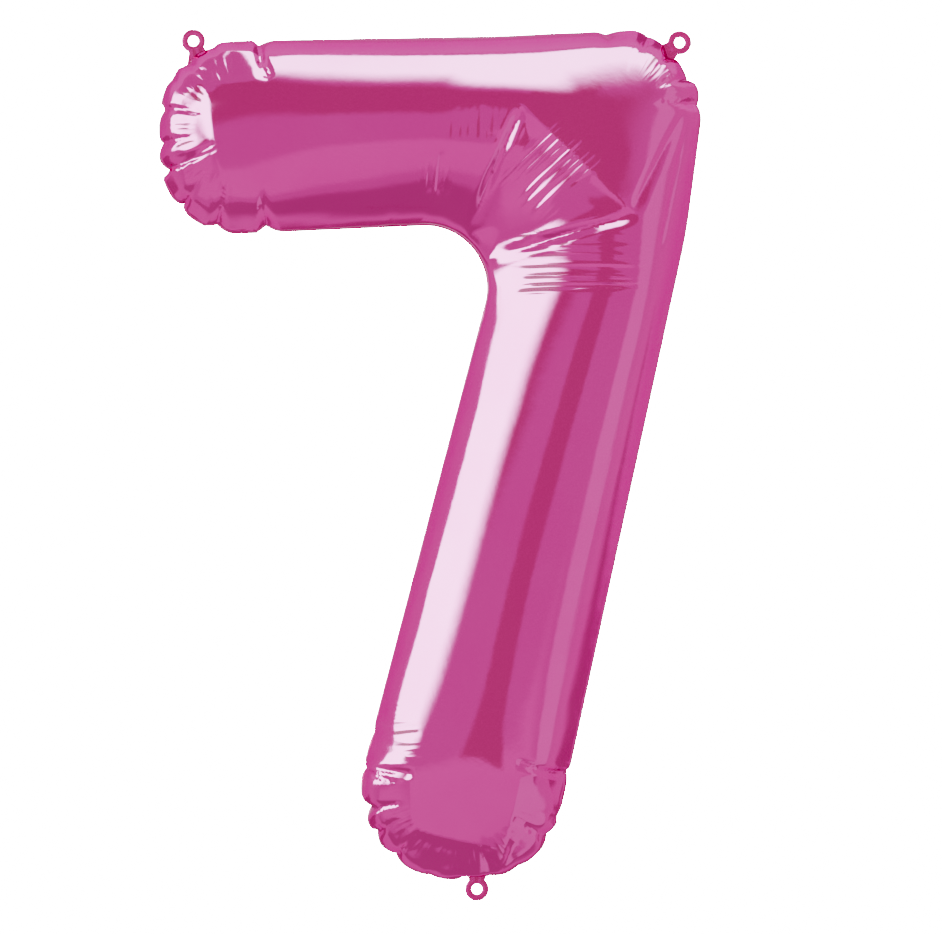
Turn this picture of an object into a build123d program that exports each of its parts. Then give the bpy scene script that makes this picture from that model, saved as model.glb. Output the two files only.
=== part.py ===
from build123d import *

import os
from math import cos, radians, sin

# Inflated foil number balloon, the figure 7.
#
# Frame: millimetres, +Z up, +X to the right of the figure as it is read, and -Y towards its reader.
# The origin is the centre of the bottom tab's hole, where a ribbon is tied.
#
# Two cut-out films, front and back, are welded to each other round a flat margin and stand apart
# under gas pressure. A flat two-ply valve passes out through the weld at the bottom. Three ring
# tabs, each of a front and a back ply, stand out of the margin and fold where they join it.

# ---- driving dimensions ----
FILM = 0.6  # modelled thickness of one film
WELD = 0.3  # thickness of the welded layer between the two films
MARGIN = 7.0  # width of the flat welded margin
DEEPEST = 94.0  # most that the front stands off the middle plane
FULLNESS = 0.97  # depth of a section as a share of its half width

# Corners of the margin's outer edge (X, Z), clockwise from the top left, and the radius of each
BAR_TOP_LEFT = (-324.5, 861.0)
BAR_TOP_RIGHT = (237.0, 872.0)
STEM_BEND = (209.8, 655.5)
STEM_BOTTOM_RIGHT = (64.0, 13.5)
STEM_BOTTOM_LEFT = (-138.0, 13.5)
INNER_CORNER = (28.0, 674.0)
BAR_BOTTOM_LEFT = (-324.5, 670.0)
OUTLINE = {
    BAR_TOP_LEFT: 94.0,
    BAR_TOP_RIGHT: 88.0,
    STEM_BEND: 600.0,
    STEM_BOTTOM_RIGHT: 96.0,
    STEM_BOTTOM_LEFT: 96.0,
    INNER_CORNER: 68.0,
    BAR_BOTTOM_LEFT: 94.0,
}

# Where the cross-sections stand. Directions are in degrees from +X.
BAR_END = (-230.0, 766.0)  # centre of the bar's rounded end
BAR_TIP_WAY = 180.0  # direction from there to the bar's tip
BAR_RIB_WAY = 90.0  # direction of a section's line across the bar
BAR_STEPS = (0.0, 60.0, 120.0)  # distances of the sections along the bar
STEM_END = (-13.5, 108.0)  # centre of the stem's rounded end
STEM_LEAN = 13.6  # degrees that the stem's top leans to the right
STEM_TIP_WAY = -90.0 - STEM_LEAN
STEM_RIB_WAY = -STEM_LEAN
STEM_STEPS = (0.0, 25.0, 60.0, 120.0, 220.0, 330.0)
CAP_STEPS = (87.0, 75.0, 60.0, 42.0, 22.0)  # degrees round a rounded end, from its tip to the arm
ELBOW_CENTRE = (-56.0, 606.0)  # where the lines of the elbow's sections meet
ELBOW_WAYS = (90.0, 74.0, 58.0, 42.0, 26.0, 8.0, -STEM_LEAN)
LONG = 700.0  # length of a line that surely leaves the figure
PAST_MIDDLE = 5.0  # how far the gas space's half is drawn past the middle plane, for a clean cut

# Ring tabs: centre of the hole, direction that the tab points, distance from fold to hole
TABS = {
    "top_left": ((-287.8, 861.0), 107.6, 13.5),
    "top_right": ((205.7, 859.3), 40.0, 13.8),
    "bottom": ((0.0, 0.0), -90.0, 12.8),
}
TAB_HOLE_R = 5.4
TAB_RING_R = 12.0
TAB_NECK = 15.0  # width of the neck between the ring and the fold
TAB_PLY = WELD / 2 + FILM  # the two plies of a tab meet on the middle plane
FOLD_GAP = 1.2  # clear space at the fold, so that the tab turns without touching the margin
STUB_ROOT = 24.0  # width of the stub that carries a tab, where it grows out of the margin
STUB_DEPTH = 9.0  # how far the stub reaches back into the margin

# Valve: a flat tube of two films that runs up the stem from the margin's outer edge
VALVE_AT = (-37.0, 8.0)  # a point on its axis, near the margin's outer edge
VALVE_MOUTH = 22.0
VALVE_BODY = 34.0
VALVE_NECK = 28.0  # length of the narrow part
VALVE_LENGTH = 150.0


def placed(point, way):
    """A flat frame in the figure's plane: its x axis starts at point and runs in the direction way."""
    return Location((point[0], point[1], 0), (0, 0, way))


def along(start, way, distance):
    """The point at that distance from start, in the figure's plane."""
    return (start[0] + distance * cos(radians(way)), start[1] + distance * sin(radians(way)))


def closed_face(*corners):
    """A flat face with straight sides."""
    return make_face(Polyline(*corners, close=True))


def upright(flat, low, high):
    """A solid from a flat shape drawn in (X, Z), between two distances in front of the middle plane."""
    solid = extrude(Plane.XZ * flat, amount=high - low, dir=(0, -1, 0))
    return Pos(0, -low, 0) * solid


def margin_edge():
    """The figure out to the margin's outer edge, as a flat face."""
    return make_face(FilletPolyline(*OUTLINE.keys(), radius=list(OUTLINE.values()), close=True))


def stub(hole, way, reach):
    """The short root that carries a ring tab, ending square at the fold."""
    fold, root = -reach, -reach - STUB_DEPTH
    half_fold, half_root = TAB_NECK / 2, STUB_ROOT / 2
    flat = closed_face((fold, half_fold), (fold, -half_fold), (root, -half_root), (root, half_root))
    return placed(hole, way) * flat


def valve_plan():
    """The valve's outline, from outside the margin up the stem."""
    half_mouth, half_body = VALVE_MOUTH / 2, VALVE_BODY / 2
    shoulder = VALVE_NECK + half_body
    flat = closed_face(
        (-MARGIN, half_mouth),
        (VALVE_NECK, half_mouth),
        (shoulder, half_body),
        (VALVE_LENGTH, half_body),
        (VALVE_LENGTH, -half_body),
        (shoulder, -half_body),
        (VALVE_NECK, -half_mouth),
        (-MARGIN, -half_mouth),
    )
    return placed(VALVE_AT, 90 - STEM_LEAN) * flat


def crossing(seam, start, way):
    """The two ends of the stretch that a straight line from start runs inside the seam."""
    line = Edge.make_line(start, along(start, way, 2 * LONG))
    stretch = (seam & line).edges()[0]
    return stretch @ 0, stretch @ 1


def rib(seam, start, way, inset):
    """The front half of the gas space's elliptical section, on a line across the figure."""
    low, high = crossing(seam, start, way)
    half, middle = (high - low).length / 2, (low + high) / 2
    across = (high - low).normalized()
    section = Plane(
        origin=(middle.X, 0, middle.Y),
        x_dir=(across.X, 0, across.Y),
        z_dir=(across.Y, 0, -across.X),
    )
    width, depth = half - inset, min(FULLNESS * half, DEEPEST) - inset
    front = EllipticalCenterArc((0, 0), width, depth, arc_size=180)
    back = Polyline((-width, 0), (-width, -PAST_MIDDLE), (width, -PAST_MIDDLE), (width, 0))
    return section * make_face(front + back)


def arm(seam, end, tip_way, rib_way, steps, inset):
    """The sections of one arm of the figure, from its rounded end towards the elbow."""
    tip = crossing(seam, end, tip_way)[1]
    cap = (tip - Vector(*end)).length
    distances = [-cap * sin(radians(turn)) for turn in CAP_STEPS]
    ribs = []
    for distance in [*distances, *steps]:
        below = along(along(end, tip_way, -distance), rib_way, -LONG)
        ribs.append(rib(seam, below, rib_way, inset))
    return ribs


def front_space(seam, inset):
    """The front half of the inflated space inside the seam, moved in by inset all round."""
    bar = arm(seam, BAR_END, BAR_TIP_WAY, BAR_RIB_WAY, BAR_STEPS, inset)
    elbow = [rib(seam, ELBOW_CENTRE, way, inset) for way in ELBOW_WAYS]
    stem = arm(seam, STEM_END, STEM_TIP_WAY, STEM_RIB_WAY, STEM_STEPS, inset)
    return loft([*bar, *elbow, *reversed(stem)])


def panel(margin_plan, outer, inner):
    """The front film: the inflated skin and the flat margin round it, in one piece."""
    before_weld = Pos(0, -WELD / 2 - LONG, 0) * Box(3 * LONG, 2 * LONG, 4 * LONG)
    skin = (outer - inner) & before_weld
    return skin + (upright(margin_plan, WELD / 2, WELD / 2 + FILM) - inner)


def tab_ply(hole, way, reach):
    """One ply of a ring tab, from its fold to beyond its hole."""
    start, half_neck = FOLD_GAP - reach, TAB_NECK / 2
    neck = closed_face((start, half_neck), (0, half_neck), (0, -half_neck), (start, -half_neck))
    beyond_fold = Pos(start + LONG / 2, 0) * Rectangle(LONG, LONG)
    flat = ((neck + Circle(TAB_RING_R)) & beyond_fold) - Circle(TAB_HOLE_R)
    return upright(placed(hole, way) * flat, 0, TAB_PLY)


def envelope_nodes():
    """The films, the weld and the valve, which stay together."""
    edge = margin_edge()
    seam = offset(edge, -MARGIN)
    outer, inner = front_space(seam, 0), front_space(seam, FILM)
    margin_plan = edge
    for place in TABS.values():
        margin_plan = margin_plan + stub(*place)
    valve = valve_plan() & edge
    front = panel(margin_plan, outer, inner)
    valve_front = upright(valve, 0, WELD / 2)
    return {
        "front_foil_panel": front,
        "back_foil_panel": mirror(front, about=Plane.XZ),
        "perimeter_weld": upright(margin_plan - valve, -WELD / 2, WELD / 2) - inner,
        "valve_front_film": valve_front,
        "valve_back_film": mirror(valve_front, about=Plane.XZ),
    }


def tab_nodes():
    """The two plies of each ring tab."""
    nodes = {}
    for name, place in TABS.items():
        front = tab_ply(*place)
        nodes[f"{name}_tab_front_ply"] = front
        nodes[f"{name}_tab_back_ply"] = mirror(front, about=Plane.XZ)
    return nodes


def main():
    os.makedirs("parts", exist_ok=True)
    for name, shape in {**envelope_nodes(), **tab_nodes()}.items():
        shape.label = name
        export_step(shape, f"parts/{name}.step")


main()
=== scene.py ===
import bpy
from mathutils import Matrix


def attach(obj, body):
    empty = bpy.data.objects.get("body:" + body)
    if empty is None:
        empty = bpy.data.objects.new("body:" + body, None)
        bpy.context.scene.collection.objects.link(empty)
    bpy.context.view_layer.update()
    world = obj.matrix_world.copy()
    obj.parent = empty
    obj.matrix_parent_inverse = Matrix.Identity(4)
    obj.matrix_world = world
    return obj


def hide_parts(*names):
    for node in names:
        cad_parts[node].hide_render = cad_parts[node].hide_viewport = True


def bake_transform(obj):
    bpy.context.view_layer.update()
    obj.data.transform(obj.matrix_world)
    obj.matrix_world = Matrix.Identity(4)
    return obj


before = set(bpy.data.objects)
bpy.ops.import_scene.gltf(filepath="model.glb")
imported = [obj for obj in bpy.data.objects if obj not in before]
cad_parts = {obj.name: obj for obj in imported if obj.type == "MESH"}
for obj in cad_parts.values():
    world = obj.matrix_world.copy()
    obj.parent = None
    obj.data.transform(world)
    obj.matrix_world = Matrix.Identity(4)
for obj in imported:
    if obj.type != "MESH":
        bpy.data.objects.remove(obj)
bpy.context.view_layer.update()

from concurrent.futures import ThreadPoolExecutor
from math import acos, atan2, ceil, cos, pi, radians, sin, sqrt, tan

import bpy
import numpy as np
from mathutils import Vector
from mathutils.geometry import delaunay_2d_cdt
from mathutils.kdtree import KDTree

# The figure 7 as a foil balloon. Two flat films are cut out, welded round their edge and blown up here,
# by a small film simulation: the flat cut is corrected until the blown-up seam lies on SEAM. The back
# film is the front film's mirror image.
# Metres, in the CAD's frame: +Z up, +X to the reader's right, -Y towards the reader.

MM = 0.001

# ---- seam that the film is blown up to: corners (X, Z) clockwise from the top left, and radii, in mm ----
SEAM = (
    ((-321, 857), 80),
    ((234.5, 869.8), 86),
    ((207.5, 655.5), 600),
    ((64.8, 14.5), 86),
    ((-142.4, 11.5), 86),
    ((31, 678.2), 64),
    ((-321, 670), 80),
)
# The seam's last shape, with the top right corner cut off and the bottom left one fuller
LAST_SEAM = (
    ((-322, 859), 80),
    ((20, 864), 600),
    ((174, 872), 30),
    ((230.5, 808), 50),
    ((212, 667), 600),
    ((70, 13), 88),
    ((-145.5, 7), 93),
    ((31, 678.2), 64),
    ((-322, 662.5), 80),
)
# How far each side of the flat cut starts outside that seam, and its corner radii, in mm
FLAT_GROWTH = (40, 45, 45, 35, 45, 40, 30)
FLAT_RADII = (130, 150, 500, 120, 120, 67, 120)

# ---- puckers, in mm: where the seam is gathered (X, Z), how far the pleat runs in and how much it takes
# up, then how deep the notch is between the lobes on either side and how far its groove runs in ----
PUCKERS = (
    (-221, 857, 48, 12.0, 6, 85),
    (-265, 852, 24, 7.0, 2.5, 55),
    (-291, 834, 36, 9.0, 5, 75),
    (-306, 821, 16, 4.5, 2, 40),
    (-316, 791, 36, 9.5, 5.5, 85),
    (-319, 757, 36, 9.5, 6, 70),
    (-310, 730, 43, 11.0, 11, 95),
    (-295, 698, 36, 9.5, 7, 85),
    (-264, 673, 36, 9.5, 6, 80),
    (-213, 670, 40, 10.0, 7, 80),
    (-106, 161, 14, 3.0, 2, 40),
    (-115, 126, 48, 8.0, 6, 85),
    (-115, 84, 28, 10.0, 9, 75),
    (-105, 58, 24, 8.0, 6, 60),
    (-81, 37, 43, 9.0, 5, 85),
    (-45, 17, 18, 4.5, 2, 40),
    (13, 15, 43, 6.0, 2.5, 85),
    (42, 26, 14, 3.0, 2, 40),
    (72, 56, 36, 8.0, 5, 75),
    (81, 75, 14, 3.0, 2.5, 45),
    (89, 121, 40, 8.0, 4, 85),
    (131, 869, 26, 6.0, 3, 50),
    (171, 863, 34, 8.0, 4, 60),
    (196, 847, 24, 6.0, 4, 60),
    (215, 823, 36, 9.0, 5, 70),
    (223, 797, 40, 8.0, 5, 80),
)
# ---- ironing: the film is smoothed wholly near the elbow, and to a share elsewhere ----
ELBOW = (30.0, 680.0)  # in mm, like the two distances from it
ELBOW_NEAR = 125.0
ELBOW_FAR = 215.0
IRON_ELSEWHERE = 0.2
IRON_ROUNDS = 300
IRON_PACE = 0.8  # share of the way to its neighbours that a point moves in one round
IRON_CELL = 2.5 * MM
LEAST_WEIGHT = 0.05  # of the film round a grid point that counts

# ---- long creases: from and to (X, Z), width on each side and depth, in mm ----
CREASES = (
    ((-8, 665), (44, 786), 9, 8),
    ((12, 638), (161, 679), 9, 8),
    ((-113, 127), (-63, 122), 7, 4),
    ((86, 116), (38, 136), 7, 4),
    ((-222, 857), (-208, 815), 7, 5),
    ((-306, 730), (-262, 752), 6, 3),
    ((214, 796), (154, 680), 10, 3),
    ((216, 796), (182, 640), 5, 1.5),
)
# ---- facets, flatter than the film there: corners (X, Z), width of the sloping edge and depth, in mm ----
FACETS = (
    (((-8, 665), (44, 786), (159, 679), (12, 638)), 22, 6.0),
    (((-295, 800), (-272, 816), (-262, 752), (-297, 746), (-306, 776)), 16, 2.5),
    (((-285, 828), (-249, 847), (-214, 845), (-210, 817), (-269, 813)), 14, 2.5),
    (((-295, 728), (-262, 750), (-252, 704), (-267, 685), (-293, 702)), 16, 2.5),
    (((-98, 123), (-67, 123), (-64, 68), (-80, 42), (-100, 78)), 16, 2.5),
    (((43, 121), (71, 121), (75, 85), (59, 52), (25, 23)), 15, 2.5),
    (((-80, 42), (-62, 64), (19, 44), (23, 21), (-7, 17), (-53, 23)), 14, 2.5),
)
# ---- the film stands out a little over the top of the elbow's upper crease, in mm ----
SWELL = 5.0
SWELL_AT = (34.0, 792.0)
SWELL_SIZE = (72.0, 44.0)

# ---- film and simulation ----
PRESSURE = 0.065
BENDING = 0.02
SEAM_BENDING = 0.1
DAMPING = 0.992
TIME_STEP = 0.5
COMPRESSED = 0.1  # stiffness in compression, as a share, while the overall shape is found
GRIP = 0.4 * MM  # the front film never comes nearer than this to the middle plane
COARSE = 20.0 * MM  # spacing of the points at first
DOME_SLOPE = 0.6  # the film starts as a roof of this slope
DOME_REACH = 0.1  # up to this far in from the edge
DOME_ROUGHNESS = 0.0006
PLEAT_WIDTH = 4.2 * MM  # narrowest that a pleat is spread over
LEAST_KEPT = 0.15  # of the film's width at the heart of a pleat
FIRST_RUN = 1200  # steps before the first correction of the cut
BURST = 100  # steps between corrections
ROUNDS_COARSE = 50
ROUNDS_MEDIUM = 20
ROUNDS_FINE = 7
ROUNDS_FINEST = 3
SMOOTHING = 22.0 * MM  # length of seam over which the misfit is averaged
MOST_MISFIT = 0.015  # that one correction takes into account
CORRECTION = 0.15  # share of the misfit that moves the cut
SHIFT_KEPT = 0.7  # share of the last correction that the next starts from
SHIFT_ROUNDS = 40  # rounds that spread it from the edge over the cut
THREADS = 4
CHUNK = 6000  # most points that one task works on

# ---- lobes along the seam ----
TRUE_UP = 45.0 * MM  # how far in the last correction of the seam reaches
TRUE_UP_SHARES = (0.7, 0.7, 1.0)  # of the misfit, taken out in turn
LOBE_SIDE = 17.0 * MM  # most that a notch takes from the lobe beside it
NOTCH_OVERLAP = 4.0 * MM  # how far notches close together run into each other

# ---- rim, tabs and valve, in mm ----
RIM_WIDTH = 0.9  # outside the seam
RIM_INSIDE = 1.2  # hidden inside the films
RIM_HALF = 0.3  # half its thickness at the films, and this share of that at its outer edge
RIM_TAPER = 0.7
# Each tab's hole (X, Z), the way it points in degrees, and its fold's distance from the hole
TAB_PLACES = {
    "top_left_tab": ((-287.8, 861.0), 107.6, 13.5),
    "top_right_tab": ((205.7, 859.3), 40.0, 13.8),
    "bottom_tab": ((0.0, 0.0), -90.0, 12.8),
}
TAB_HOLE_R = 5.4
TAB_RING_R = 12.0
TAB_NECK_HALF = 8.2  # half the neck's width
TAB_NECK_END = 8.8  # from the hole's centre to where the neck meets the ring
TAB_FLARE = 5.8  # how much wider each side of the neck is at its root
TAB_FLARE_END = 9.0
TAB_FLARE_POWER = 1.4
TAB_ROOT = 8.0  # how far the root reaches in past the fold
TAB_EDGE_HALF = 0.28  # half the thickness at the edges
TAB_RAISED = 0.42  # how far each side rises between the hole and the ring's edge
TAB_RIPPLE = 0.35
TAB_CLEAR = 1.0  # how far inside a tab's fold the film stays where the tab folds down
TAB_ROOM = (21.0, 34.0)  # how far to each side of a tab, and how deep, that reaches
TAB_ROOM_EDGE = 8.0
VALVE_AT = (-37.0, 8.0)
VALVE_HALF = ((8, 11), (28, 11), (34, 12.6), (45, 17), (150, 17))  # distance up the stem and half width
VALVE_GAP = 0.08  # between a valve film and the middle plane at its edges
VALVE_CUP = 1.2  # how far its body stands off
VALVE_WAVE = 0.5
STEM_LEAN = 13.6

# ---- fine wrinkles in mm: middle (X, Z), the way they run in degrees from +X, half length and half width
# of the patch, spacing and height ----
WRINKLES = (
    ((99, 630), 0, 70, 36, 7.5, 0.9),
    ((99, 611), 1, 66, 10, 5.0, 1.2),
    ((72, 724), 43, 50, 40, 6.0, 1.35),
    ((-41, 722), 84, 26, 18, 6.0, 1.3),
    ((0, 770), 88, 20, 34, 6.5, 0.35),
    ((117, 365), 76.4, 230, 16, 4.5, 0.05),
    ((-76, 165), 10, 22, 42, 6.0, 0.30),
)
# ---- short creases in mm that fan out round an end: centre (X, Z), from and to which angle, nearest and
# farthest reach, spacing and height ----
TEETH = (
    ((-230, 766), (95, 265), (50, 82), 5.5, 0.60),
    ((-13.5, 108), (190, 345), (55, 88), 5.5, 0.65),
    ((130, 765), (15, 75), (60, 104), 5.5, 0.60),
)
CRUMPLE = 0.14  # height of the crumples all over the film, in mm
RIDGE = 6.0  # from noise to the ridge's height

# ---- colours and light ----
MAGENTA = (0.80, 0.10, 0.42, 1.0)
DEEP_MAGENTA = (0.77, 0.09, 0.40, 1.0)
WELD_MAGENTA = (0.74, 0.08, 0.35, 1.0)
DEEP_WELD_MAGENTA = (0.66, 0.06, 0.30, 1.0)
TAB_MAGENTA = (0.74, 0.09, 0.36, 1.0)
DEEP_TAB_MAGENTA = (0.68, 0.07, 0.32, 1.0)
GRAZING = (0.85, 0.30, 0.60, 1.0)  # what the foil reflects at its edges
VALVE_TINT = (0.86, 0.88, 0.90, 1.0)
VALVE_SHADE = (0.78, 0.80, 0.83, 1.0)
FLOOR_PALE = (0.86, 0.86, 0.86, 1.0)
FLOOR_SHADE = (0.82, 0.82, 0.82, 1.0)
FLOOR_RADIUS = 0.72  # in metres, like its height
FLOOR_HEIGHT = -0.16
FLOOR_SIDES = 96
BACKDROP_LIGHT = 22.0
PLAIN_LIGHT = 4.0  # on everything that is not a mirror
BACK_LIGHT = 0.70  # what the foil reflects from behind it, away from the panels
FRONT_LIGHT = 0.61  # and from the reader's side
LEAN = radians(STEM_LEAN)
STEM_ACROSS = (cos(LEAN), 0.0, -sin(LEAN))
STEM_ALONG = (sin(LEAN), 0.0, cos(LEAN))
LEFT = tuple(-v for v in STEM_ACROSS)
TO_READER = (0, -1, 0)
UP = (0, 0, 1)
DOWN = (0, 0, -1)
RIGHT = (1, 0, 0)
UP_RIGHT = (1, 0, 1)
UP_LEFT = (-1, 0, 1)
WHOLE = (-0.9, -0.8, 0.8, 0.9)
# Panels: the way each is moved from the reader, the four angles at which it starts, is full, is still
# full and ends, the way it is long, where its two ends fade, and its light
PANELS = (
    (UP, (103, 108, 135, 145), RIGHT, WHOLE, (0.80, 0.98, 0.88)),
    (DOWN, (22, 28, 60, 68), RIGHT, (-0.9, -0.7, 0.7, 0.9), (0.71, 0.72, 0.72)),
    (DOWN, (72, 78, 98, 112), RIGHT, (-0.9, -0.7, 0.7, 0.9), (0.48, 0.46, 0.44)),
    (UP, (8, 16, 46, 54), RIGHT, (-0.9, -0.6, 0.6, 0.9), (0.50, 0.45, 0.40)),
    (UP_RIGHT, (2, 7, 50, 58), UP_LEFT, (-0.40, -0.32, 0.32, 0.40), (0.50, 0.45, 0.40)),
    (STEM_ACROSS, (-2, 2, 22, 26), STEM_ALONG, (-0.46, -0.42, 0.8, 0.9), (0.50, 0.46, 0.40)),
    (STEM_ACROSS, (66, 71, 92, 97), STEM_ALONG, WHOLE, (0.74, 0.92, 0.80)),
    (LEFT, (40, 60, 102, 105), STEM_ALONG, (-0.30, -0.22, 0.22, 0.30), (3.0, 8.6, 4.6)),
    (UP, (52, 74, 100, 103), RIGHT, (-0.30, -0.22, 0.62, 0.74), (2.8, 8.6, 4.4)),
    (STEM_ACROSS, (150, 154, 168, 172), STEM_ALONG, WHOLE, (0.48, 0.46, 0.42)),
    (DOWN, (138, 144, 160, 166), RIGHT, WHOLE, (0.48, 0.46, 0.42)),
)
LENS = 135.0
SENSOR = 36.0
VIEW_WIDTH = 0.9564  # width of the view at the middle plane, in metres
AIM = (-0.006, 0.0, 0.4285)

POOL = ThreadPoolExecutor(THREADS)


# ---- flat shapes ----
def eased(share):
    """From 0 to 1 with no corner."""
    share = np.clip(share, 0, 1)
    return share * share * (3 - 2 * share)


def heading(way):
    """Cosine and sine of a direction in degrees."""
    return cos(radians(way)), sin(radians(way))


def outward(ring, reach):
    """The way out of a closed ring at each point, from its neighbours that many places off."""
    way = np.roll(ring, -reach, 0) - np.roll(ring, reach, 0)
    way /= np.linalg.norm(way, axis=1)[:, None]
    turn = (ring[:, 0] * np.roll(ring[:, 1], -1) - np.roll(ring[:, 0], -1) * ring[:, 1]).sum()
    return np.column_stack([way[:, 1], -way[:, 0]]) * np.sign(turn)


def circle(radius, sides):
    """Points round the origin."""
    turns = np.linspace(0, 2 * pi, sides + 1)[:-1]
    return radius * np.column_stack([np.cos(turns), np.sin(turns)])


def corner_arc(before, corner, after, radius):
    """Points round one rounded corner."""
    back = (before - corner) / np.linalg.norm(before - corner)
    on = (after - corner) / np.linalg.norm(after - corner)
    half = acos(np.clip(back @ on, -1, 1)) / 2
    reach = radius / tan(half)
    middle = (back + on) / np.linalg.norm(back + on)
    centre = corner + middle * radius / sin(half)
    start, end = corner + back * reach - centre, corner + on * reach - centre
    first = atan2(start[1], start[0])
    sweep = atan2(start[0] * end[1] - start[1] * end[0], start @ end)
    turns = first + sweep * np.linspace(0, 1, 33)
    return centre + radius * np.column_stack([np.cos(turns), np.sin(turns)])


def rounded_ring(corners, radii, step):
    """Evenly spaced points round a polygon with rounded corners."""
    count = len(corners)
    arcs = [corner_arc(corners[i - 1], corners[i], corners[(i + 1) % count], radii[i]) for i in range(count)]
    points = np.vstack(arcs)
    closed = np.vstack([points, points[:1]])
    lengths = np.linalg.norm(np.diff(closed, axis=0), axis=1)
    run = np.concatenate([[0], np.cumsum(lengths)])
    many = int(round(run[-1] / step))
    at = np.arange(many) * run[-1] / many
    return np.column_stack([np.interp(at, run, side) for side in closed.T])


def grown(corners, outs):
    """The clockwise polygon with side i, from corner i to the next, moved out by outs[i]."""
    count = len(corners)
    lines = []
    for i in range(count):
        way = corners[(i + 1) % count] - corners[i]
        way = way / np.linalg.norm(way)
        lines.append((corners[i] + np.array([-way[1], way[0]]) * outs[i], way))
    moved = []
    for i in range(count):
        (a, p), (b, q) = lines[i - 1], lines[i]
        share = ((b[0] - a[0]) * q[1] - (b[1] - a[1]) * q[0]) / (p[0] * q[1] - p[1] * q[0])
        moved.append(a + p * share)
    return moved


def inside(points, ring):
    """Which points lie inside a closed ring."""
    result = np.zeros(len(points), bool)
    for a, b in zip(ring, np.roll(ring, -1, axis=0)):
        crosses = (a[1] > points[:, 1]) != (b[1] > points[:, 1])
        height = b[1] - a[1] if b[1] != a[1] else 1.0
        x = (b[0] - a[0]) * (points[:, 1] - a[1]) / height + a[0]
        result ^= crosses & (points[:, 0] < x)
    return result


def to_ring(points, ring):
    """Distance from each point to a closed ring."""
    best = np.full(len(points), np.inf)
    for a, b in zip(ring, np.roll(ring, -1, axis=0)):
        side = b - a
        share = np.clip(((points - a) @ side) / (side @ side), 0, 1)
        best = np.minimum(best, np.linalg.norm(points - a - share[:, None] * side, axis=1))
    return best


def filled(rings, step, seed):
    """Triangles of about that size inside the first ring and outside the others."""
    low, high = rings[0].min(0), rings[0].max(0)
    rows = np.arange(low[1], high[1], step * sqrt(3) / 2)
    grid = [
        np.column_stack([xs, np.full(len(xs), z)])
        for j, z in enumerate(rows)
        for xs in [np.arange(low[0] + (step / 2 if j % 2 else 0), high[0], step)]
    ]
    points = np.vstack(grid)
    points = points + np.random.default_rng(seed).uniform(-0.18, 0.18, points.shape) * step
    keep = inside(points, rings[0])
    for ring in rings[1:]:
        keep &= ~inside(points, ring)
    for ring in rings:
        keep &= to_ring(points, ring) > 0.55 * step
    edges = []
    start = 0
    for ring in rings:
        edges += [(start + i, start + (i + 1) % len(ring)) for i in range(len(ring))]
        start += len(ring)
    cloud = [Vector(p) for p in np.vstack([*rings, points[keep]])]
    made = delaunay_2d_cdt(cloud, edges, [], 1, 1e-7)
    verts = np.array([tuple(p) for p in made[0]])
    faces = np.array([list(t) for t in made[2]])
    for ring in rings[1:]:
        faces = faces[~inside(verts[faces].mean(1), ring)]
    return verts, faces


def split(verts, faces, at):
    """Each triangle into four, with the points' places in space carried along."""
    edges = np.sort(np.vstack([faces[:, [0, 1]], faces[:, [1, 2]], faces[:, [2, 0]]]), axis=1)
    key = edges[:, 0].astype(np.int64) * (len(verts) + 1) + edges[:, 1]
    first, back = np.unique(key, return_index=True, return_inverse=True)[1:]
    p, q = edges[first].T
    count, many = len(verts), len(faces)
    ab, bc, ca = (count + back[i * many : (i + 1) * many] for i in range(3))
    a, b, c = faces.T
    parts = ((a, ab, ca), (ab, b, bc), (ca, bc, c), (ab, bc, ca))
    finer = np.vstack([np.column_stack(t) for t in parts])
    return np.vstack([verts, (verts[p] + verts[q]) / 2]), finer, np.vstack([at, (at[p] + at[q]) / 2])


# ---- the film ----
def neighbours(count, faces):
    """Every point's neighbours in order round it, which of them are real, and whether they close."""
    follows = [{} for _ in range(count)]
    for a, b, c in faces.tolist():
        follows[a][b] = c
        follows[b][c] = a
        follows[c][a] = b
    closed = np.ones(count, bool)
    lists = []
    for i, after in enumerate(follows):
        starts = set(after) - set(after.values())
        closed[i] = not starts
        here = starts.pop() if starts else next(iter(after))
        order = [here]
        while here in after and after[here] != order[0]:
            here = after[here]
            order.append(here)
        lists.append(order)
    most = max(len(order) for order in lists)
    around = np.empty((most, count), np.int32)
    real = np.zeros((most, count), bool)
    for i, order in enumerate(lists):
        around[: len(order), i] = order
        around[len(order) :, i] = order[0] if closed[i] else order[-1]
        real[: len(order), i] = True
    return around, real, closed


def edge_loop(faces):
    """The points of the outer edge, in order."""
    pairs = {(t[i], t[(i + 1) % 3]) for t in faces.tolist() for i in range(3)}
    after = {a: b for a, b in pairs if (b, a) not in pairs}
    loop = [min(after)]
    while after[loop[-1]] != loop[0]:
        loop.append(after[loop[-1]])
    return np.array(loop)


def nearest(points, line):
    """The index of the line's point nearest to each point."""
    gap = (points[:, None, 0] - line[None, :, 0]) ** 2 + (points[:, None, 1] - line[None, :, 1]) ** 2
    return gap.argmin(1)


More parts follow.
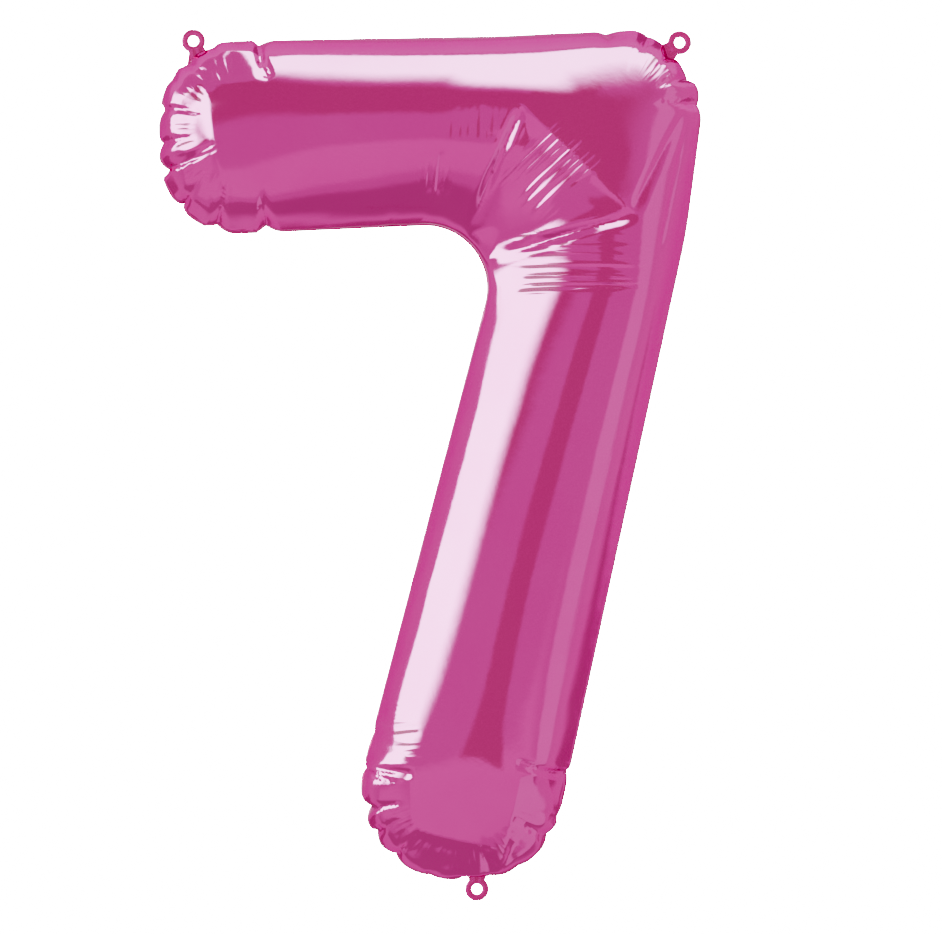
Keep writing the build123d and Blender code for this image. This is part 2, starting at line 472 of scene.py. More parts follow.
class Film:
    """The front film as point masses joined by springs, under gas pressure.

    plan is the flat cut and at the points' places now, as rows X, Y and Z. The seam's points stay on the
    middle plane, because the back film is the front film's mirror image."""

    def __init__(self, plan, faces, at, soft, pleats):
        self.plan, self.faces, self.soft, self.pleats = plan, faces, soft, pleats
        self.count = len(plan)
        self.around, self.real, self.closed = neighbours(self.count, faces)
        self.edge = ~self.closed
        self.loop = edge_loop(faces)
        self.there = self.real.astype(np.float32)
        self.many = self.there.sum(0)
        self.wedge = self.there.copy()
        self.wedge[self.real.sum(0)[self.edge] - 1, np.nonzero(self.edge)[0]] = 0
        self.wedge[:, self.closed] = 1
        self.at = np.ascontiguousarray(at.T, np.float32)
        self.speed = np.zeros_like(self.at)
        self.force = np.zeros_like(self.at)
        self.curl = np.zeros_like(self.at)
        self.shift = np.zeros((2, self.count))
        chunks = max(THREADS, ceil(self.count / CHUNK))
        size = ceil(self.count / chunks)
        self.chunks = [slice(i, i + size) for i in range(0, self.count, size)]
        self.measure()

    def measure(self):
        """Takes the springs' lengths from the flat cut, with the pleats' width taken out."""
        flat = self.plan[self.around] - self.plan[None]
        self.size = float(np.median(np.hypot(flat[..., 0], flat[..., 1])[self.real]))
        out = outward(self.plan[self.loop], 3)
        place = {point: i for i, point in enumerate(self.loop.tolist())}
        for point, length, taken in self.pleats:
            self.take_out(flat, point, -out[place[point]], length, taken)
        self.rest = np.hypot(flat[..., 0], flat[..., 1]).astype(np.float32)
        self.rest[~self.real] = 1
        self.stiffness = (self.there / self.rest * self.size).astype(np.float32)
        self.mass = self.stiffness.sum(0) / 6

    def take_out(self, flat, point, inwards, length, taken):
        """Narrows the film along one pleat."""
        width = max(self.size, PLEAT_WIDTH)
        near = np.nonzero(np.hypot(*(self.plan - self.plan[point]).T) < length + 3 * width)[0]
        middle = self.plan[near] + flat[:, near] / 2 - self.plan[point]
        across = np.array([-inwards[1], inwards[0]])
        share = np.clip(1 - middle @ inwards / length, 0, 1)
        spread = np.exp(-((middle @ across / width) ** 2)) / (width * sqrt(pi))
        kept = np.clip(1 - taken * share * spread, LEAST_KEPT, 1)
        flat[:, near] -= ((flat[:, near] @ across) * (1 - kept))[..., None] * across

    def pull(self, part):
        """Springs and pressure on one chunk of the points."""
        to = np.take(self.at, self.around[:, part], axis=1) - self.at[:, None, part]
        length = np.sqrt(to[0] * to[0] + to[1] * to[1] + to[2] * to[2]) + 1e-9
        strain = 1 - self.rest[:, part] / length
        strain = np.where(strain < 0, strain * np.float32(self.soft), strain) * self.stiffness[:, part]
        force = (strain * to).sum(1)
        on = np.concatenate([to[:, 1:], to[:, :1]], 1)
        wedge = self.wedge[:, part] * np.float32(PRESSURE / 6)
        force[0] += ((to[1] * on[2] - to[2] * on[1]) * wedge).sum(0)
        force[1] += ((to[2] * on[0] - to[0] * on[2]) * wedge).sum(0)
        force[2] += ((to[0] * on[1] - to[1] * on[0]) * wedge).sum(0)
        self.force[:, part] = force
        curl = (to * self.there[:, part]).sum(1) / self.many[part]
        curl[:, self.edge[part]] = 0
        self.curl[:, part] = curl

    def flatten(self, part):
        """Bending stiffness on one chunk of the points."""
        mean = (np.take(self.curl, self.around[:, part], axis=1) * self.there[:, part]).sum(1)
        self.force[:, part] -= BENDING * (mean / self.many[part] - self.curl[:, part])

    def stiffen_seam(self):
        """Bending stiffness along the seam, which is welded and so stiffer."""
        line = self.at[:, self.loop]
        bend = np.roll(line, 1, 1) + np.roll(line, -1, 1) - 2 * line
        self.force[:, self.loop] -= SEAM_BENDING * (np.roll(bend, 1, 1) + np.roll(bend, -1, 1) - 2 * bend)

    def run(self, steps):
        """Moves the film through a number of time steps."""
        for _ in range(steps):
            list(POOL.map(self.pull, self.chunks))
            list(POOL.map(self.flatten, self.chunks))
            self.stiffen_seam()
            self.speed = (self.speed + np.float32(TIME_STEP) / self.mass * self.force) * np.float32(DAMPING)
            self.speed[1, self.edge] = 0
            self.at = self.at + np.float32(TIME_STEP) * self.speed
            touching = (self.at[1] > -GRIP) & self.closed
            self.at[1, touching] = -GRIP
            self.speed[1, touching] = 0
            self.at[1, self.edge] = 0

    def misfit(self, line, out):
        """How far each point of the seam lies outside the line, the way out there, and the seam."""
        seam = self.at[:, self.loop][[0, 2]].T
        close = nearest(seam, line)
        return ((seam - line[close]) * out[close]).sum(1), out[close], seam

    def line_up(self, line, out):
        """Moves and turns the whole film to where its seam fits the wanted line best."""
        gap, way, seam = self.misfit(line, out)
        centre = seam.mean(0)
        arm = seam - centre
        terms = np.column_stack([way, way[:, 1] * arm[:, 0] - way[:, 0] * arm[:, 1]])
        dx, dz, turn = np.linalg.lstsq(terms, -gap, rcond=None)[0]
        c, s = cos(turn), sin(turn)
        x, z = self.at[0] - centre[0], self.at[2] - centre[1]
        self.at[0] = x * c - z * s + centre[0] + dx
        self.at[2] = x * s + z * c + centre[1] + dz
        x, z = self.speed[0].copy(), self.speed[2].copy()
        self.speed[0] = x * c - z * s
        self.speed[2] = x * s + z * c

    def correct(self, line, out):
        """Lines the film up, then moves the flat cut's edge against the seam's misfit."""
        for _ in range(3):
            self.line_up(line, out)
        gap = np.clip(self.misfit(line, out)[0], -MOST_MISFIT, MOST_MISFIT)
        reach = max(1, int(3 * SMOOTHING / self.size))
        steps = range(-reach, reach + 1)
        weights = np.exp(-0.5 * (np.arange(-reach, reach + 1) * self.size / SMOOTHING) ** 2)
        smooth = sum(np.roll(gap, j) * w for j, w in zip(steps, weights / weights.sum()))
        move = (-CORRECTION * smooth[:, None] * outward(self.plan[self.loop], 3)).T
        shift = self.shift * SHIFT_KEPT
        shift[:, self.loop] = move
        for _ in range(SHIFT_ROUNDS):
            shift = (shift[:, self.around] * self.there).sum(1) / self.many
            shift[:, self.loop] = move
        self.shift = shift
        self.plan = self.plan + shift.T
        self.measure()

    def settle(self, rounds, line, out):
        """Runs the film and corrects its cut in turn."""
        for _ in range(rounds):
            self.run(BURST)
            self.correct(line, out)

    def finer(self, soft, pleats):
        """The same film with each triangle split into four."""
        plan, faces, at = split(self.plan, self.faces, self.at.T)
        return Film(plan, faces, at, soft, pleats)

    def find_pleats(self):
        """The pleats, each at the point of the seam nearest to its pucker."""
        seam = self.at[:, self.loop][[0, 2]].T
        places = np.array([p[:2] for p in PUCKERS]) * MM
        points = self.loop[nearest(places, seam)]
        return [(int(i), p[2] * MM, p[3] * MM) for i, p in zip(points, PUCKERS)]


def seam_line(wanted):
    """A wanted seam, as points, with the outward direction at each."""
    corners = [np.array(corner) * MM for corner, _ in wanted]
    line = rounded_ring(corners, [radius * MM for _, radius in wanted], 1.5 * MM)
    return line, outward(line, 1)


def blown_up(line, out):
    """The front film, blown up so that its seam lies on the wanted line."""
    corners = [np.array(corner) * MM for corner, _ in SEAM]
    cut = grown(corners, [v * MM for v in FLAT_GROWTH])
    ring = rounded_ring(cut, [v * MM for v in FLAT_RADII], COARSE)
    plan, faces = filled([ring], COARSE, 1)
    rough = np.random.default_rng(7).uniform(0, DOME_ROUGHNESS, len(plan))
    domed = -DOME_SLOPE * np.minimum(to_ring(plan, ring), DOME_REACH) - rough
    film = Film(plan, faces, np.column_stack([plan[:, 0], domed, plan[:, 1]]), COMPRESSED, [])
    film.run(FIRST_RUN)
    film.settle(ROUNDS_COARSE, line, out)
    pleats = film.find_pleats()
    film = film.finer(COMPRESSED, pleats)
    film.settle(ROUNDS_MEDIUM, line, out)
    film = film.finer(1.0, pleats)
    film.settle(ROUNDS_FINE, line, out)
    film = film.finer(1.0, pleats)
    film.settle(1, line, out)
    film.run(BURST * (ROUNDS_FINEST - 1))
    return film


# ---- ironing, creases and lobes ----
class Shore:
    """Where each point of the film lies from the seam: how far in, and how far round."""

    def __init__(self, film):
        ring = film.plan[film.loop]
        tree = KDTree(len(ring))
        for i, (x, z) in enumerate(ring.tolist()):
            tree.insert((x, z, 0), i)
        tree.balance()
        close = np.array([tree.find((x, z, 0))[1] for x, z in film.plan.tolist()])
        sides = np.linalg.norm(np.roll(ring, -1, 0) - ring, axis=1)
        self.round = sides.sum()
        self.places = np.concatenate([[0], np.cumsum(sides)[:-1]])
        self.inwards = np.full(film.count, np.inf)
        self.place = np.zeros(film.count)
        for first in (close - 1, close):
            a, b = ring[first], ring[(first + 1) % len(ring)]
            side = b - a
            share = np.clip(((film.plan - a) * side).sum(1) / (side * side).sum(1), 0, 1)
            gap = np.linalg.norm(film.plan - a - share[:, None] * side, axis=1)
            nearer = gap < self.inwards
            self.inwards[nearer] = gap[nearer]
            self.place[nearer] = (self.places[first] + share * sides[first])[nearer]

    def spread(self, values):
        """Values along the seam's points, taken to every point of the film."""
        return np.interp(self.place, self.places, values, period=self.round)

    def apart(self, place, other):
        """Signed distance round the seam from the other place to place."""
        return (place - other + self.round / 2) % self.round - self.round / 2


def normals(film):
    """The film's outward direction at each point, smoothed. On the seam it lies in the middle plane."""
    at = film.at.T.astype(float)
    a, b, c = (at[film.faces[:, i]] for i in range(3))
    face = np.cross(b - a, c - a)
    total = np.zeros_like(at)
    for i in range(3):
        np.add.at(total, film.faces[:, i], face)
    total *= -np.sign(total[:, 1].sum())
    total[film.edge, 1] = 0
    for _ in range(4):
        total /= np.linalg.norm(total, axis=1)[:, None] + 1e-12
        total = (total[film.around] * film.real[..., None]).sum(0) / film.real.sum(0)[:, None] + total
        total[film.edge, 1] = 0
    return total / (np.linalg.norm(total, axis=1)[:, None] + 1e-12)


def stencil(places, low, cell, wide):
    """The nine grid points round each place, and their smooth weights."""
    spot = (places - low) / cell
    middle = np.round(spot).astype(int)
    t = spot - middle
    sides = (0.5 * (0.5 - t) ** 2, 0.75 - t**2, 0.5 * (0.5 + t) ** 2)
    cells = [(middle[:, 0] + i - 1) * wide + middle[:, 1] + j - 1 for i in range(3) for j in range(3)]
    weights = [sides[i][:, 0] * sides[j][:, 1] for i in range(3) for j in range(3)]
    return np.array(cells), np.array(weights)


def iron_share(at):
    """How far each point is ironed: wholly near the elbow, and a little elsewhere."""
    off = np.hypot(at[:, 0] - ELBOW[0] * MM, at[:, 2] - ELBOW[1] * MM)
    share = eased((ELBOW_FAR * MM - off) / ((ELBOW_FAR - ELBOW_NEAR) * MM))
    return np.maximum(share, IRON_ELSEWHERE)


def gathered(values, cells, weights, tall, wide):
    """The points' values taken to a grid, and which grid points have some of the film round them."""
    total = np.zeros((tall * wide, values.shape[1] + 1))
    weighed = np.column_stack([values, np.ones(len(values))])
    for cell, weight in zip(cells, weights):
        np.add.at(total, cell, weighed * weight[:, None])
    known = total[:, -1] > LEAST_WEIGHT
    total[known, :-1] /= total[known, -1:]
    return total[:, :-1].reshape(tall, wide, -1), known.reshape(tall, wide)


def smoothed(grid, known):
    """The grid's shifts and squared depth, evened out by its fourth value, with a round section kept."""
    tall, wide = known.shape
    steps = ((1, 0), (-1, 0), (1, 1), (-1, 1))
    moving = known.copy()
    for step, axis in steps:
        moving &= np.roll(known, step, axis)
    pace = IRON_PACE * np.where(moving, grid[..., 3], 0)[..., None]
    flat = np.stack(np.meshgrid(np.arange(tall), np.arange(wide), indexing="ij"), -1) * IRON_CELL
    now = grid[..., :3].copy()
    for _ in range(IRON_ROUNDS):
        place = flat + now[..., :2]
        change = np.zeros_like(now)
        for step, axis in steps:
            change += (np.roll(now, step, axis) - now) / 4
            change[..., 2] += ((np.roll(place, step, axis) - place) ** 2).sum(-1) / 8
        now += pace * change
    return now


def iron(film):
    """Smooths the film on a grid over the flat cut, most at the elbow, where it would buckle at random."""
    at = film.at.T.astype(float)
    low = film.plan.min(0) - 3 * IRON_CELL
    tall, wide = ((film.plan.max(0) - low) / IRON_CELL).astype(int) + 4
    cells, weights = stencil(film.plan, low, IRON_CELL, wide)
    values = np.column_stack([at[:, [0, 2]] - film.plan, at[:, 1] ** 2, iron_share(at)])
    now = smoothed(*gathered(values, cells, weights, tall, wide))
    smooth = (now.reshape(-1, 3)[cells] * weights[..., None]).sum(0)
    ends = np.clip(Shore(film).inwards / (2 * IRON_CELL), 0, 1)[:, None]
    ironed = values[:, :3] + ends * (smooth - values[:, :3])
    film.at[0], film.at[2] = (film.plan + ironed[:, :2]).T
    film.at[1] = np.where(film.closed, -np.sqrt(np.maximum(ironed[:, 2], GRIP**2)), 0)


def press_in(film, sunk):
    """Moves each point in along the film's normal, and keeps the seam on the middle plane."""
    film.at = film.at - (normals(film) * sunk[:, None]).T
    film.at[1, film.edge] = 0


def groove(spot, start, end, width, depth):
    """How far one long crease presses each place in. It starts gently and ends short."""
    start, end = np.array(start) * MM, np.array(end) * MM
    long = np.linalg.norm(end - start)
    way = (end - start) / long
    along = (spot - start) @ way / long
    aside = (spot - start) @ np.array([-way[1], way[0]])
    fade = np.clip(along / 0.4, 0, 1) * np.clip((1 - along) / 0.12, 0, 1)
    return depth * MM * np.clip(1 - np.abs(aside) / (width * MM), 0, 1) ** 1.5 * fade


def crease(film):
    """The long creases, the flattened facets and the swelling over the elbow."""
    spot = film.at[[0, 2]].T.astype(float)
    sunk = np.zeros(film.count)
    for row in CREASES:
        sunk = np.maximum(sunk, groove(spot, *row))
    for corners, edge, depth in FACETS:
        ring = np.array(corners) * MM
        within = np.where(inside(spot, ring), to_ring(spot, ring), 0)
        rise = np.clip(within / (edge * MM), 0, 1)
        sunk += depth * MM * rise * (2 - rise)
    off = np.linalg.norm((spot / MM - SWELL_AT) / SWELL_SIZE, axis=1)
    sunk -= SWELL * MM * np.clip(1 - off**2, 0, 1) ** 2
    press_in(film, sunk)


def shape_seam(film, line, out):
    """Brings the seam exactly to the wanted line, then gathers it into lobes."""
    shore = Shore(film)
    for share in TRUE_UP_SHARES:
        gap, way, seam = film.misfit(line, out)
        fade = np.clip(1 - shore.inwards / TRUE_UP, 0, 1) ** 2 * share
        film.at[0] -= shore.spread(gap * way[:, 0]) * fade
        film.at[2] -= shore.spread(gap * way[:, 1]) * fade
    seam = film.at[:, film.loop][[0, 2]].T
    spots = [shore.places[nearest(np.array([p[:2]]) * MM, seam)[0]] for p in PUCKERS]
    sunk = np.zeros(film.count)
    for spot, (_, _, _, _, depth, run) in zip(spots, PUCKERS):
        to_next = sorted(abs(shore.apart(other, spot)) for other in spots)[1]
        width = min(0.5 * to_next + NOTCH_OVERLAP, LOBE_SIDE)
        fade = np.clip(1 - shore.inwards / (run * MM), 0, 1)
        off = np.abs(shore.apart(shore.place, spot)) / (width * (0.35 + 0.65 * fade))
        sunk = np.maximum(sunk, depth * MM * fade**0.8 * np.clip(1 - off, 0, 1) ** 1.7)
    press_in(film, sunk)


def clear_tabs(film):
    """Moves the film in where a tab would touch it when folded flat against it."""
    x, y, z = film.at.astype(float)
    for hole, way, reach in TAB_PLACES.values():
        c, s = heading(way)
        east, north = x / MM - hole[0], z / MM - hole[1]
        past_fold = east * c + north * s + reach
        beside = abs(north * c - east * s)
        near = eased((TAB_ROOM[0] - beside) / TAB_ROOM_EDGE) * eased((TAB_ROOM[1] + y / MM) / TAB_ROOM_EDGE)
        moved = np.maximum(past_fold + TAB_CLEAR, 0) * near * MM
        x = x - moved * c
        z = z - moved * s
    film.at[0], film.at[2] = x, z


# ---- pieces ----
def put(name, data):
    """A new object in the scene."""
    made = bpy.data.objects.new(name, data)
    bpy.context.scene.collection.objects.link(made)
    return made


def mesh_piece(name, verts, faces, material):
    """A smooth-shaded mesh object."""
    mesh = bpy.data.meshes.new(name)
    mesh.from_pydata([tuple(v) for v in verts.tolist()], [], [tuple(f) for f in faces])
    mesh.polygons.foreach_set("use_smooth", np.ones(len(mesh.polygons), bool))
    mesh.materials.append(material)
    mesh.update()
    piece = put(name, mesh)
    return piece


def film_pieces(film, material):
    """The front film and its mirror image, the back film."""
    at = film.at.T.astype(float)
    front = mesh_piece("front_film", at, film.faces[:, ::-1].tolist(), material)
    back = mesh_piece("back_film", at * (1, -1, 1), film.faces.tolist(), material)
    for piece, node, other in ((front, "front_foil_panel", back), (back, "back_foil_panel", front)):
        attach(piece, "envelope")
        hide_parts(node)
        piece.visible_glossy = False


def rim_piece(film, material):
    """The narrow welded rim outside the seam."""
    seam = film.at[:, film.loop][[0, 2]].T.astype(float)
    out = outward(seam, 2)
    reaches = (-RIM_INSIDE, RIM_WIDTH, RIM_WIDTH, -RIM_INSIDE)
    heights = (-RIM_HALF, -RIM_HALF * RIM_TAPER, RIM_HALF * RIM_TAPER, RIM_HALF)
    count = len(seam)
    rows = []
    faces = []
    for r, (reach, height) in enumerate(zip(reaches, heights)):
        edge = seam + out * reach * MM
        rows.append(np.column_stack([edge[:, 0], np.full(count, height * MM), edge[:, 1]]))
        low, high = r * count, (r + 1) % 4 * count
        faces += [(low + i, low + (i + 1) % count, high + (i + 1) % count, high + i) for i in range(count)]
    piece = mesh_piece("seam_rim", np.vstack(rows), faces, material)
    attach(piece, "envelope")
    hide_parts("perimeter_weld")


def tab_outline(reach):
    """The tab's outline, hole at the origin, pointing along +X, with a neck that flares into the seam."""
    root = reach + TAB_ROOT
    neck = []
    for share in np.linspace(0, 1, 12):
        x = -root + share * (root - TAB_NECK_END)
        flare = max(0.0, 1 - (x + root) / (root - TAB_FLARE_END)) ** TAB_FLARE_POWER
        neck.append((x, TAB_NECK_HALF + TAB_FLARE * flare))
    start = atan2(TAB_NECK_HALF, -TAB_NECK_END)
    ring = [(TAB_RING_R * cos(a), TAB_RING_R * sin(a)) for a in np.linspace(start, -start, 40)]
    return np.array([*neck, *ring[1:-1], *[(x, -half) for x, half in reversed(neck)]])


def two_sided(faces, count):
    """The faces of a flat shape's front, its back, whose points come count later, and its edges."""
    loops = [(a, b) for t in faces for a, b in zip(t, t[1:] + t[:1])]
    known = set(loops)
    edges = [(b, a, a + count, b + count) for a, b in loops if (b, a) not in known]
    back = [tuple(v + count for v in reversed(t)) for t in faces]
    return [tuple(t) for t in faces] + back + edges


def tab_piece(name, place, material):
    """A ring tab of two welded plies, raised round its hole."""
    (x, z), way, reach = place
    flat, faces = filled([tab_outline(reach), circle(TAB_HOLE_R, 28)], 1.4, 3)
    radius = np.hypot(flat[:, 0], flat[:, 1])
    middle = (TAB_HOLE_R + TAB_RING_R) / 2
    raised = np.clip(1 - ((radius - middle) / (TAB_RING_R - middle)) ** 2, 0, 1)
    half = TAB_EDGE_HALF + TAB_RAISED * raised
    ripple = TAB_RIPPLE * np.sin(flat[:, 1] * 0.9 + 0.6) * np.clip((-flat[:, 0] - 6) / 8, 0, 1)
    c, s = heading(way)
    across = flat[:, 0] * c - flat[:, 1] * s + x
    up = flat[:, 0] * s + flat[:, 1] * c + z
    front = np.column_stack([across, ripple - half, up])
    back = np.column_stack([across, ripple + half, up])
    skin = two_sided(faces.tolist(), len(flat))
    piece = mesh_piece(f"{name}_film", np.vstack([front, back]) * MM, skin, material)
    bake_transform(piece)
    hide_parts(f"{name}_front_ply", f"{name}_back_ply")


def valve_piece(name, node, side, material):
    """One film of the flat valve, slightly cupped, running up the stem from the seam."""
    outline = np.array([*VALVE_HALF, *[(x, -half) for x, half in reversed(VALVE_HALF)]])
    flat, faces = filled([outline], 4.0, 5)
    edge = to_ring(flat, outline)
    cupped = (1 - np.exp(-edge / 6.0)) * np.clip((flat[:, 0] - 25) / 40, 0, 1)
    wave = np.sin(flat[:, 0] * 0.09) * np.clip((flat[:, 0] - 30) / 60, 0, 1)
    lift = side * (VALVE_GAP + VALVE_CUP * cupped) + VALVE_WAVE * wave
    c, s = heading(90 - STEM_LEAN)
    x = flat[:, 0] * c - flat[:, 1] * s + VALVE_AT[0]
    z = flat[:, 0] * s + flat[:, 1] * c + VALVE_AT[1]
    piece = mesh_piece(name, np.column_stack([x, lift, z]) * MM, faces.tolist(), material)
    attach(piece, "envelope")
    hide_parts(node)


# ---- materials ----
def node(tree, kind, **values):
    """A new shader node with its settings."""
    made = tree.nodes.new(kind)
    for name, value in values.items():
        setattr(made, name, value)
    return made


def plug(tree, socket, value):
    """Sets a socket to a number or colour, or links it to another socket."""
    if isinstance(value, bpy.types.NodeSocket):
        tree.links.new(value, socket)
    else:
        socket.default_value = value


def adjust(tree, made, settings):
    """Sets or links a node's sockets by name."""
    for name, value in settings.items():
        plug(tree, made.inputs[name], value)


def maths(tree, operation, *values):
    """The result of one arithmetic node."""
    made = node(tree, "ShaderNodeMath", operation=operation)
    for socket, value in zip(made.inputs, values):
        plug(tree, socket, value)
    return made.outputs[0]


def product(tree, *values):
    """All the values multiplied together."""
    total = values[0]
    for value in values[1:]:
        total = maths(tree, "MULTIPLY", total, value)
    return total


def vector(tree, operation, value, other=(0, 0, 0)):
    """The node of one vector operation."""
    made = node(tree, "ShaderNodeVectorMath", operation=operation)
    plug(tree, made.inputs[0], value)
    plug(tree, made.inputs[1], other)
    return made


def toward(tree, direction, way):
    """How far a vector reaches in a fixed direction."""
    return vector(tree, "DOT_PRODUCT", direction, Vector(way).normalized()).outputs["Value"]


def ramp(tree, value, start, end, low=0.0, high=1.0):
    """A smooth step from low to high as value goes from start to end."""
    made = node(tree, "ShaderNodeMapRange", interpolation_type="SMOOTHSTEP")
    for socket, number in zip(made.inputs, (value, start, end, low, high)):
        plug(tree, socket, number)
    return made.outputs[0]


def noise(tree, place, scale, detail):
    """Smooth noise from 0 to 1."""
    made = node(tree, "ShaderNodeTexNoise")
    adjust(tree, made, {"Vector": place, "Scale": scale, "Detail": detail})
    return made.outputs["Fac"]


def ridges(tree, first, second, height):
    """Height of sharp ridges, in metres, from noise over two coordinates."""
    spot = node(tree, "ShaderNodeCombineXYZ")
    plug(tree, spot.inputs[0], first)
    plug(tree, spot.inputs[1], second)
    off = maths(tree, "SUBTRACT", noise(tree, spot.outputs[0], 1.0, 1.0), 0.5)
    return maths(tree, "MULTIPLY", maths(tree, "ABSOLUTE", off), -RIDGE * height * MM)


def wrinkles(tree, place, patch):
    """Height of one patch of fine wrinkles, in metres."""
    (x, z), way, half_long, half_wide, spacing, height = patch
    off = vector(tree, "SUBTRACT", place, (x * MM, 0, z * MM)).outputs[0]
    c, s = heading(way)
    along = toward(tree, off, (c, 0, s))
    aside = toward(tree, off, (-s, 0, c))
    slowly = maths(tree, "MULTIPLY", along, 0.25 / (half_long * MM))
    quickly = maths(tree, "MULTIPLY", aside, 0.5 / (spacing * MM))
    ends = ramp(tree, maths(tree, "ABSOLUTE", along), 0.55 * half_long * MM, half_long * MM, 1, 0)
    sides = ramp(tree, maths(tree, "ABSOLUTE", aside), 0.55 * half_wide * MM, half_wide * MM, 1, 0)
    return product(tree, ridges(tree, slowly, quickly, height), product(tree, ends, sides))


def teeth(tree, place, fan):
    """Height of one fan of short creases across a rounded end, in metres."""
    (x, z), (first, last), (near, far), spacing, height = fan
    off = vector(tree, "SUBTRACT", place, (x * MM, 0, z * MM)).outputs[0]
    c, s = heading((first + last) / 2)
    turn = maths(tree, "ARCTAN2", toward(tree, off, (-s, 0, c)), toward(tree, off, (c, 0, s)))
    flat = vector(tree, "MULTIPLY", off, (1, 0, 1)).outputs[0]
    reach = vector(tree, "LENGTH", flat).outputs["Value"]
    quickly = maths(tree, "MULTIPLY", turn, 0.5 * (near + far) / 2 / spacing)
    slowly = maths(tree, "MULTIPLY", reach, 14.0)
    half = radians((last - first) / 2)
    sides = ramp(tree, maths(tree, "ABSOLUTE", turn), half * 0.85, half, 1, 0)
    edge = 0.4 * (far - near) * MM
    inner = ramp(tree, reach, near * MM, near * MM + edge)
    outer = ramp(tree, reach, far * MM - edge, far * MM, 1, 0)
    within = product(tree, product(tree, inner, outer), sides)
    return product(tree, ridges(tree, quickly, slowly, height), within)


def blank(name):
    """A new material, its node tree and its shader, and the place on the object."""
    material = bpy.data.materials.new(name)
    material.use_nodes = True
    tree = material.node_tree
    place = node(tree, "ShaderNodeTexCoord").outputs["Object"]
    return material, tree, tree.nodes["Principled BSDF"], place


def tinted(tree, shader, share, colour, deeper):
    """The shader's colour, mixed from two by a share."""
    tone = node(tree, "ShaderNodeMix", data_type="RGBA")
    plug(tree, tone.inputs[0], share)
    tone.inputs[6].default_value = colour
    tone.inputs[7].default_value = deeper
    plug(tree, shader.inputs["Base Color"], tone.outputs[2])


def foil(name, colour, deeper, roughness, creased=False):
    """Metallised film: a coloured mirror with faint haze and fine crumples."""
    material, tree, shader, place = blank(name)
    haze = noise(tree, place, 9.0, 4.0)
    tinted(tree, shader, ramp(tree, haze, 0.35, 0.65), colour, deeper)
    plug(tree, shader.inputs["Roughness"], ramp(tree, haze, 0.3, 0.7, roughness, roughness * 1.6))
    adjust(tree, shader, {"Metallic": 1.0, "Specular Tint": GRAZING})
    adjust(tree, shader, {"Coat Weight": 0.3, "Coat Roughness": 0.06, "Coat IOR": 1.5})
    height = maths(tree, "MULTIPLY", noise(tree, place, 60.0, 3.0), CRUMPLE * MM)
    if creased:
        for patch in WRINKLES:
            height = maths(tree, "ADD", height, wrinkles(tree, place, patch))
        for fan in TEETH:
            height = maths(tree, "ADD", height, teeth(tree, place, fan))
    bump = node(tree, "ShaderNodeBump")
    adjust(tree, bump, {"Strength": 1.0, "Distance": 1.0, "Height": height})
    plug(tree, shader.inputs["Normal"], bump.outputs["Normal"])
    return material


def clear_film(name):
    """Translucent polyethylene, slightly milky."""
    material, tree, shader, place = blank(name)
    milky = noise(tree, place, 35.0, 3.0)
    tinted(tree, shader, milky, VALVE_TINT, VALVE_SHADE)
    plug(tree, shader.inputs["Roughness"], ramp(tree, milky, 0.3, 0.7, 0.25, 0.4))
    adjust(tree, shader, {"Transmission Weight": 0.7, "IOR": 1.45})
    return material


def floor_white():
    """Matt white paper that fades out towards its edge."""
    material, tree, shader, place = blank("floor_paper")
    tinted(tree, shader, noise(tree, place, 4.0, 2.0), FLOOR_PALE, FLOOR_SHADE)
    shader.inputs["Roughness"].default_value = 0.9
    reach = vector(tree, "LENGTH", place).outputs["Value"]
    plug(tree, shader.inputs["Alpha"], ramp(tree, reach, 0.35, 0.7, 1, 0))
    return material


# ---- studio ----
def panel_mask(tree, direction, way, angles, along, ends):
    """Where a panel of the surroundings is lit, from 0 to 1."""
    angle = maths(tree, "ARCTAN2", toward(tree, direction, way), toward(tree, direction, TO_READER))
    start, full, still, stop = (radians(a) for a in angles)
    between = product(tree, ramp(tree, angle, start, full), ramp(tree, angle, still, stop, 1, 0))
    reach = toward(tree, direction, along)
    low, lit, still_lit, high = ends
    within = product(tree, ramp(tree, reach, low, lit), ramp(tree, reach, still_lit, high, 1, 0))
    return product(tree, between, within)


def blended(tree, share, first, second):
    """A mix of two lights: the first where share is 0, the second where it is 1."""
    made = node(tree, "ShaderNodeMix", data_type="VECTOR")
    for socket, value in ((0, share), (4, first), (5, second)):
        plug(tree, made.inputs[socket], value)
    return made.outputs[1]


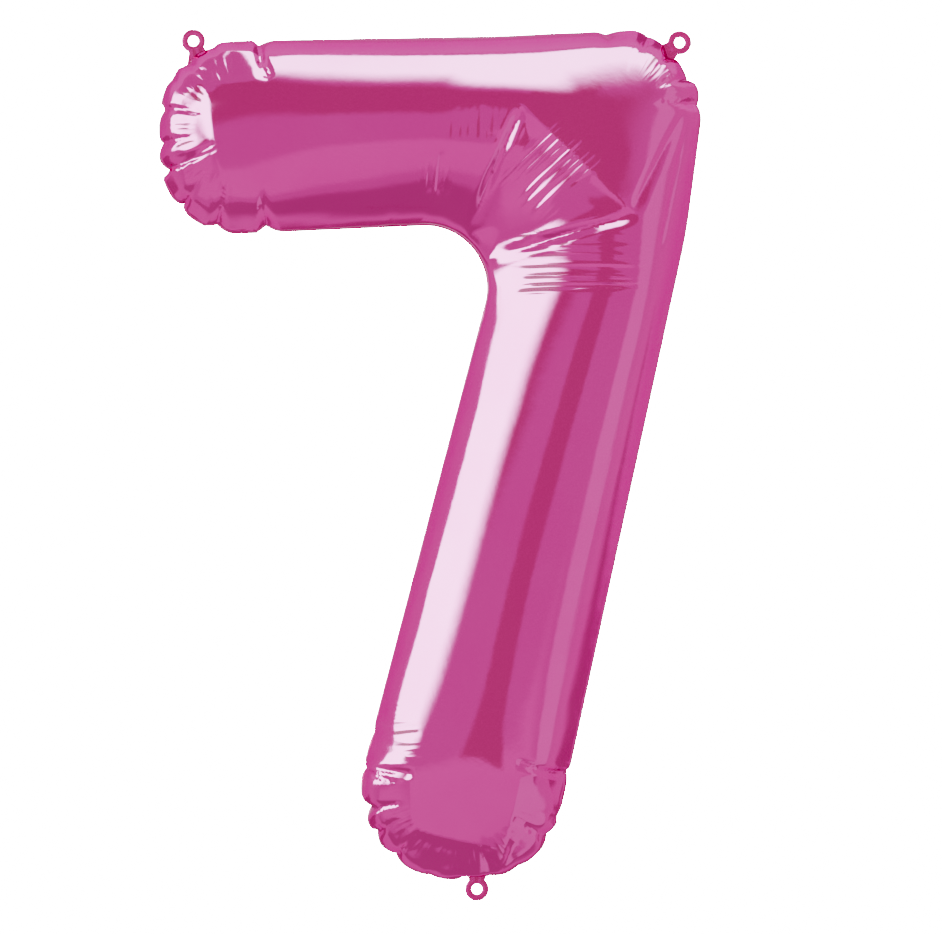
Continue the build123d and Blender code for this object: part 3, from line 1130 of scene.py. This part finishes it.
def surroundings():
    """Panels that the foil reflects, plain light on everything else, and a white backdrop."""
    world = bpy.data.worlds.new("studio")
    bpy.context.scene.world = world
    world.use_nodes = True
    tree = world.node_tree
    tree.nodes.clear()
    direction = node(tree, "ShaderNodeTexCoord").outputs["Generated"]
    light = ramp(tree, toward(tree, direction, TO_READER), -0.5, 0.2, BACK_LIGHT, FRONT_LIGHT)
    for *place, strength in PANELS:
        light = blended(tree, panel_mask(tree, direction, *place), light, strength)
    path = node(tree, "ShaderNodeLightPath")
    light = blended(tree, path.outputs["Is Glossy Ray"], (PLAIN_LIGHT,) * 3, light)
    light = blended(tree, path.outputs["Is Camera Ray"], light, (BACKDROP_LIGHT,) * 3)
    background = node(tree, "ShaderNodeBackground")
    plug(tree, background.inputs["Color"], light)
    plug(tree, node(tree, "ShaderNodeOutputWorld").inputs[0], background.outputs[0])


def floor():
    """A pale floor under the hanging balloon, small enough to stay out of the main view."""
    rim = [(x, y, 0.0) for x, y in circle(FLOOR_RADIUS, FLOOR_SIDES).tolist()]
    mesh = bpy.data.meshes.new("studio_floor")
    mesh.from_pydata(rim, [], [tuple(range(FLOOR_SIDES))])
    mesh.materials.append(floor_white())
    piece = put("studio_floor", mesh)
    piece.location = (0, 0, FLOOR_HEIGHT)
    piece.visible_glossy = False


def camera():
    """Straight at the figure, level, from the reader's side."""
    data = bpy.data.cameras.new("camera")
    data.lens = LENS
    data.sensor_width = SENSOR
    piece = put("camera", data)
    piece.location = (AIM[0], -VIEW_WIDTH * LENS / SENSOR, AIM[2])
    piece.rotation_euler = (radians(90), 0, 0)
    bpy.context.scene.camera = piece
    view = bpy.context.scene.view_settings
    view.view_transform = "AgX"
    view.look = "AgX - High Contrast"


def make():
    """The whole scene."""
    skin = foil("magenta_foil", MAGENTA, DEEP_MAGENTA, 0.07, creased=True)
    edge = foil("welded_foil", WELD_MAGENTA, DEEP_WELD_MAGENTA, 0.14)
    tab_foil = foil("tab_foil", TAB_MAGENTA, DEEP_TAB_MAGENTA, 0.16)
    plastic = clear_film("valve_film")
    film = blown_up(*seam_line(SEAM))
    iron(film)
    crease(film)
    shape_seam(film, *seam_line(LAST_SEAM))
    clear_tabs(film)
    film_pieces(film, skin)
    rim_piece(film, edge)
    for name, place in TAB_PLACES.items():
        tab_piece(name, place, tab_foil)
    valve_piece("valve_front", "valve_front_film", -1, plastic)
    valve_piece("valve_back", "valve_back_film", 1, plastic)
    surroundings()
    floor()
    camera()


make()
